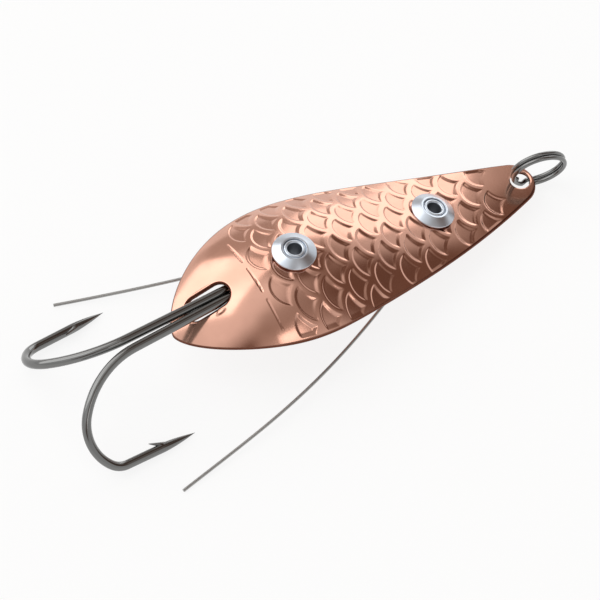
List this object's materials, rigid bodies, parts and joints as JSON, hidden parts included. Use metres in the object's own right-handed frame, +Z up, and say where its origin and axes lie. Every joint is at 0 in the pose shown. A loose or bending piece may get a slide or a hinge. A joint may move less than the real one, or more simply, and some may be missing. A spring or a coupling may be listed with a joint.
{
  "type": "weedless spoon lure",
  "caption": "Cupped S-curved copper spoon lure with riveted weedless double hook, wire weed guards and a split ring line tie.",
  "frame": {"origin": "middle of the lure's footprint, on the surface it lies on", "axes": "+X toward the head and split ring, +Y to the left of the blade seen from its tail, +Z up, out of the scaled face"},
  "size_m": [0.1002, 0.0428, 0.0166],
  "materials": {
    "copper": "polished copper plate over brass",
    "aluminium": "satin",
    "black_nickel": "glossy black nickel plate",
    "stainless_wire": "drawn spring wire"
  },
  "bodies": {
    "lure": {"spoon_blade": "copper", "rear_rivet": "aluminium", "front_rivet": "aluminium", "rear_cone_washer": "aluminium", "front_cone_washer": "aluminium", "rear_back_washer": "aluminium", "front_back_washer": "aluminium", "double_hook": "black_nickel"},
    "left_guard": {"weed_guard_left": "stainless_wire"},
    "right_guard": {"weed_guard_right": "stainless_wire"},
    "ring": {"split_ring": "black_nickel"}
  },
  "joints": [
    {"name": "ring_swing", "type": "hinge", "parent": "lure", "child": "ring", "pos_m": [0.04226, 0.00215, 0.00308], "axis": [0, 1, 0], "range_deg": [0, 95]},
    {"name": "left_guard_swing", "type": "hinge", "parent": "lure", "child": "left_guard", "pos_m": [0.0246, 0.00215, 0.00686], "axis": [0.3016, 0, 0.9534], "range_deg": [-6, 1.5], "stiffness_Nm_per_rad": 0.03},
    {"name": "right_guard_swing", "type": "hinge", "parent": "lure", "child": "right_guard", "pos_m": [0.0246, 0.00215, 0.00686], "axis": [0.3016, 0, 0.9534], "range_deg": [-4, 6], "stiffness_Nm_per_rad": 0.03}
  ]
}
